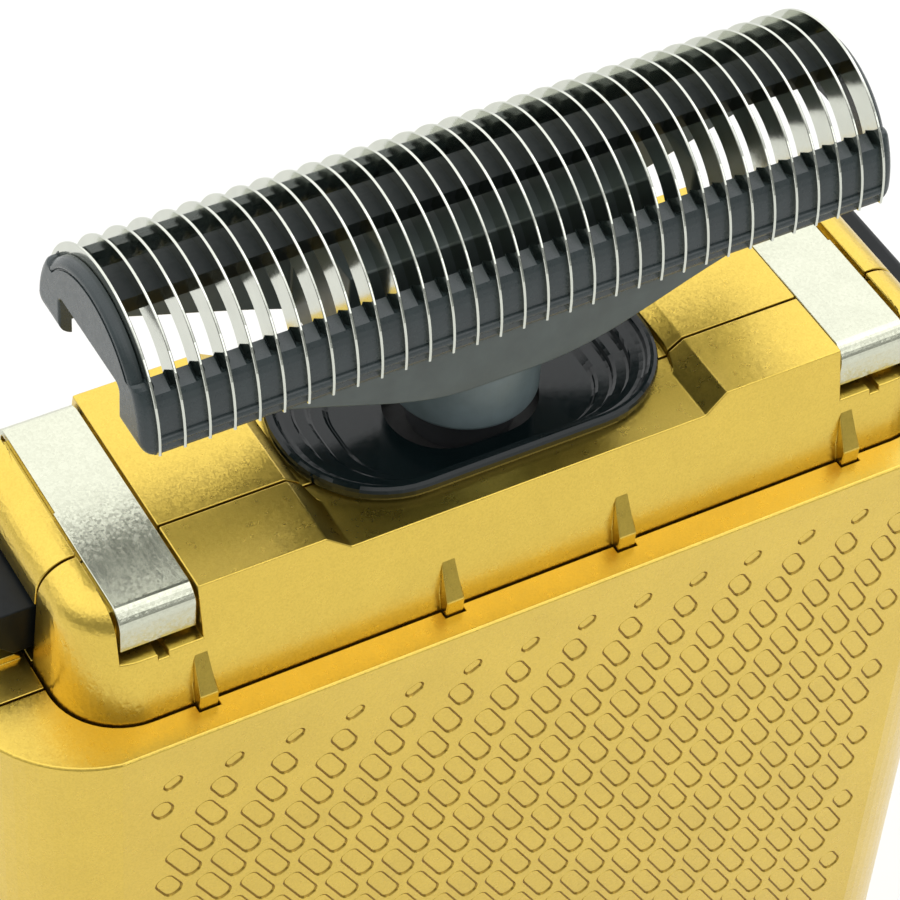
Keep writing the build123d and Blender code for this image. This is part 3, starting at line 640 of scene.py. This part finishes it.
def rail_sections():
    """Sections along X: a notch at every blade and a full tooth between, plain at both ends."""
    half = BLADE_T / 2
    cap_inside = CAP_X - END_T
    stops = []
    for x in blade_places():
        stops += [(x - half - NOTCH, "tooth"), (x - half, "notch"), (x + half, "notch"),
                  (x + half + NOTCH, "tooth")]
    stops = [(x, kind) for x, kind in stops if abs(x) < cap_inside - 0.1]
    for s in (-1, 1):
        stops += [(s * (cap_inside - d), "end") for d in (-0.01, 0.06)]
    return sorted(stops)


def rail(bm, side):
    """One side rail of the carrier; side is 1 in front and -1 behind."""
    rings = []
    for x, kind in rail_sections():
        lowest = end_foot(CAP_X - abs(x))
        rings.append([(x, side * y, max(z, lowest)) for y, z in tooth_section(kind)])
    add_tube(bm, rings)


def carrier_rails():
    bm = bmesh.new()
    rail(bm, 1)
    rail(bm, -1)
    bmesh.ops.remove_doubles(bm, verts=bm.verts, dist=1e-7)
    return piece("carrier_rails", mesh_of(bm, "carrier_rails", 28), "carrier_plastic", "cutter",
                 "cutter_carrier")


def spine():
    """Matt bar under the top of the blades, in a darker copy of the carrier plastic that is painted shade
    from the blades around it.
    """
    section = arc(SPINE_R, 77, 103, 8) + arc(SPINE_IN_R, 103, 77, 8)
    bm = bmesh.new()
    add_tube(bm, [[(x, y, z) for y, z in section] for x in (-CAP_X + 0.3, CAP_X - 0.3)])
    bar = piece("carrier_spine", mesh_of(bm, "carrier_spine", 28), "carrier_plastic", "cutter",
                "cutter_carrier")
    # base colour darker than carrier_plastic: painted shade for the bar deep between the blades; low
    # specular and roughness are its matt finish
    bar.data.materials[0] = plastic("spine_plastic_painted_shade", (0.010, 0.014, 0.014), 0.5, specular=0.22)
    return bar


def cap_band(bm, s):
    """Moulded rim over an end cap's arch: a ridge, then a broad band that leans outwards."""
    inner_r = 4.6
    # Distance in from the cap's outer face, and radius.
    section = ((0.06, PLATE_R - 0.1), (0.10, 5.36), (0.04, 5.44), (0.02, 5.54), (0.05, 5.66), (0.16, 5.78),
               (0.30, 5.88), (0.42, 5.93), (0.52, ARCH_R), (0.70, ARCH_R), (0.75, ARCH_R - 0.05),
               (0.77, inner_r), (0.2, inner_r))
    start, end, steps = 31, 149, 48
    rings = []
    for i in range(steps + 1):
        a = start + (end - start) * i / steps
        rings.append([(s * (CAP_X - d), *polar(r, a)) for d, r in section])
    add_tube(bm, rings)


def hollow(foot, flare):
    """Outline of an end cap's flat-topped hollow, open below, from the rear foot to the front foot."""
    half_y, top_z = HOLLOW_HALF_Y + flare, AXIS_Z + HOLLOW_TOP + flare
    points = [(half_y, foot)]
    for i in range(5):
        t = math.radians(22.5 * i)
        points.append((half_y - HOLLOW_R + HOLLOW_R * math.cos(t),
                       top_z - HOLLOW_R + HOLLOW_R * math.sin(t)))
    return points + [(-y, z) for y, z in points[::-1]]


def cap_ring(inside):
    """Section of an end cap at a distance in from its outer face, whose edges are all rounded."""
    into = max(0.0, EDGE_R - inside)
    reach = RAIL_R - EDGE_R + math.sqrt(EDGE_R ** 2 - into ** 2)
    foot = end_foot(inside)
    start = math.degrees(math.asin(max(0.0, foot + FOOT_EDGE_R - AXIS_Z) / reach))
    half = foot_corner(reach * math.cos(math.radians(start)), foot) + arc(reach, start + 1, 31, 8)
    half += [polar(reach - 0.06, 33), polar(reach - 0.22, 34.5), polar(PLATE_R + 0.1, 35.4)]
    half += arc(PLATE_R, 36.5, 90, 18)
    lip = max(0.0, LIP_R - inside)
    outside = half + [(-y, z) for y, z in half[-2::-1]]
    return outside + hollow(foot, LIP_R - math.sqrt(LIP_R ** 2 - lip ** 2))


def end_caps():
    for name, s in (("left_end_cap", -1), ("right_end_cap", 1)):
        bm = bmesh.new()
        cap_band(bm, s)
        piece(name + "_rim", mesh_of(bm, name + "_rim", 35), "carrier_plastic", "cutter", "cutter_carrier")
        bm = bmesh.new()
        depths = (END_T, 0.6, 0.45, 0.3, 0.2, 0.12, 0.06, 0.02, 0.0)
        add_tube(bm, [[(s * (CAP_X - d), y, z) for y, z in cap_ring(d)] for d in depths])
        piece(name, mesh_of(bm, name, 32), "carrier_plastic", "cutter", "cutter_carrier")


def boss():
    """Round boss that runs up into the keel, with a soft lower edge."""
    lo, hi = low("float_boss"), high("float_boss")
    radius, bore, soft = hi.x, 3.1, 0.4
    profile = [(bore, hi.z), (bore, lo.z), (radius - soft, lo.z)]
    for i in range(1, 7):
        t = math.radians(15 * i)
        profile.append((radius - soft + soft * math.sin(t), lo.z + soft - soft * math.cos(t)))
    profile += [(radius, lo.z + 1.5), (radius, hi.z)]
    rings = []
    for i in range(96):
        t = 2 * math.pi * i / 96
        rings.append([(r * math.cos(t), r * math.sin(t), z) for r, z in profile])
    bm = bmesh.new()
    add_tube(bm, rings, closed=True)
    return piece("round_boss", mesh_of(bm, "round_boss", 40), "boss_plastic", "cutter", "float_boss")


# ---- boot ---------------------------------------------------------------------------------------
def boot():
    """Rubber boot: a rounded lip, then rounded steps that sink to a floor with a slot for the post."""
    top = high("seal_boot").z
    floor = DECK_Z - 1.02
    under = low("seal_boot").z
    # Length, width, corner and height of each ring, up the outside and down the inside.
    steps = (
        (21.8, 11.6, 4.4, under), (21.8, 11.6, 4.4, under + 0.7), (20.3, 11.0, 3.85, under + 0.7),
        (20.3, 11.0, 3.85, floor), (22.8, 12.5, 5.9, floor), (22.9, 12.6, 5.9, floor + 0.2),
        (22.9, 12.6, 5.9, top - 0.28), (22.76, 12.46, 5.85, top - 0.1), (22.4, 12.1, 5.7, top),
        (22.0, 11.75, 5.5, top - 0.02), (21.7, 11.5, 5.4, top - 0.16), (21.5, 11.3, 5.3, top - 0.42),
        (21.3, 11.15, 5.25, floor + 0.3), (20.8, 10.9, 5.1, floor + 0.26), (19.8, 10.5, 4.9, floor + 0.24),
        (19.45, 10.35, 4.4, floor + 0.14), (19.3, 10.25, 4.35, floor - 0.12), (19.0, 10.1, 4.3, floor - 0.2),
        (17.8, 9.8, 4.15, floor - 0.22), (17.45, 9.65, 4.1, floor - 0.32), (17.3, 9.6, 4.05, floor - 0.6),
        (17.0, 9.5, 4.0, floor - 0.66), (15.6, 9.3, 3.9, floor - 0.68), (15.25, 9.2, 3.85, floor - 0.8),
        (15.1, 9.15, 3.8, DECK_Z - 1.9), (14.8, 9.0, 3.7, DECK_Z - 2.0),
    )
    slot_l, slot_w = 9.1, 6.7
    steps += ((slot_l, slot_w, slot_w / 2, DECK_Z - 2.0), (slot_l, slot_w, slot_w / 2, DECK_Z - 2.7),
              (17.0, 9.9, 3.7, DECK_Z - 2.7), (17.0, 9.9, 3.7, under))
    rings = [[(p.x, p.y, z) for p in rounded_rect(length, depth, r, 12)] for length, depth, r, z in steps]
    bm = bmesh.new()
    add_tube(bm, rings, closed=True)
    return piece("boot", mesh_of(bm, "boot", 55), "boot_rubber", "body", "seal_boot")


# ---- scene --------------------------------------------------------------------------------------
def dress_cad_nodes():
    """Gives every CAD node that still shows the material of its slot."""
    slots = {}
    for part in frame["record"]["subparts"]:
        slots[part["node"]] = part["material_slot"]
    for name, obj in frame["nodes"].items():
        material = MATERIALS[slots[name]]
        obj.data.materials.clear()
        obj.data.materials.append(material)


def pale_floor():
    half = 2.5
    mesh = bpy.data.meshes.new("floor")
    corners = [(-half, -half, 0), (half, -half, 0), (half, half, 0), (-half, half, 0)]
    mesh.from_pydata(corners, [], [(0, 1, 2, 3)])
    shade = Shade("floor_white")
    shade.colour(mottled(shade, (0.80, 0.80, 0.79), 0.005, 0.02))
    shade.roughness(shade.span(shade.noise(0.05), 0.85, 0.95))
    mesh.materials.append(shade.material)
    obj = bpy.data.objects.new("floor", mesh)
    bpy.context.scene.collection.objects.link(obj)


def studio():
    """White overhead, darker towards the horizon in front, so slanted walls show their shape."""
    world = bpy.data.worlds.new("studio")
    bpy.context.scene.world = world
    world.use_nodes = True
    nodes, links = world.node_tree.nodes, world.node_tree.links
    direction = nodes.new("ShaderNodeTexCoord").outputs["Generated"]
    dot = nodes.new("ShaderNodeVectorMath")
    dot.operation = "DOT_PRODUCT"
    dot.inputs[1].default_value = (0.05, 0.45, 0.9)
    links.new(direction, dot.inputs[0])
    ramp = nodes.new("ShaderNodeValToRGB")
    ramp.color_ramp.interpolation = "EASE"
    ramp.color_ramp.elements[0].position = 0.08
    ramp.color_ramp.elements[0].color = (0.22, 0.225, 0.22, 1)
    ramp.color_ramp.elements[1].position = 0.62
    ramp.color_ramp.elements[1].color = (1, 1, 1, 1)
    links.new(dot.outputs["Value"], ramp.inputs["Fac"])
    background = nodes["Background"]
    background.inputs["Strength"].default_value = 1.53
    links.new(ramp.outputs["Color"], background.inputs["Color"])


def area_light(name, at, target, size, watts):
    light = bpy.data.lights.new(name, "AREA")
    light.shape = "DISK"
    light.size = size
    light.energy = watts
    obj = bpy.data.objects.new(name, light)
    obj.location = at
    obj.rotation_euler = (Vector(target) - Vector(at)).to_track_quat("-Z", "Y").to_euler()
    bpy.context.scene.collection.objects.link(obj)


def camera():
    """Above the front left of the object, with a slight roll."""
    azimuth, elevation, roll = (math.radians(a) for a in (32.75, 46.40, 5.07))
    ahead = Vector((math.sin(azimuth) * math.cos(elevation), math.cos(azimuth) * math.cos(elevation),
                    -math.sin(elevation)))
    level = Vector((math.cos(azimuth), -math.sin(azimuth), 0))
    above = level.cross(ahead)
    right = level * math.cos(roll) + above * math.sin(roll)
    up = above * math.cos(roll) - level * math.sin(roll)
    data = bpy.data.cameras.new("camera")
    data.lens, data.sensor_width = 146.0, 36.0
    data.clip_start, data.clip_end = 0.01, 10
    obj = bpy.data.objects.new("camera", data)
    at = Vector((-76.786, -118.795, 234.302)) * MM
    for i, axis in enumerate((right, up, -ahead, at)):
        obj.matrix_world.col[i][:3] = axis
    bpy.context.scene.collection.objects.link(obj)
    bpy.context.scene.camera = obj


bpy.context.scene.view_settings.view_transform = "Standard"
dress_cad_nodes()
patterned_shell("front_shell", -1)
patterned_shell("rear_shell", 1)
refined("base_cap", "gold_paint", 0.12)
refined("neck_front", "gold_paint", 0.09, seam=(NECK_SEAM_Y, -SEAM_GAP))
refined("neck_rear", "gold_paint", 0.09, seam=(NECK_SEAM_Y, SEAM_GAP))
refined("left_strap", "strap_steel", 0.07, 3, longer=0.4)
refined("right_strap", "strap_steel", 0.07, 3, longer=0.4)
refined("left_release_button", "button_slate", 0.1)
refined("right_release_button", "button_slate", 0.1)
refined("cutter_hub", "hub_plastic", 0.15)
blades()
carrier_rails()
spine()
end_caps()
boss()
boot()
pale_floor()
studio()
area_light("overhead", (0.34, 0.0, 0.9), (0, 0, 0.09), 0.5, 0.4)
area_light("front", (0.37, -0.76, 0.59), (0, 0, 0.09), 0.36, 0.5)
camera()
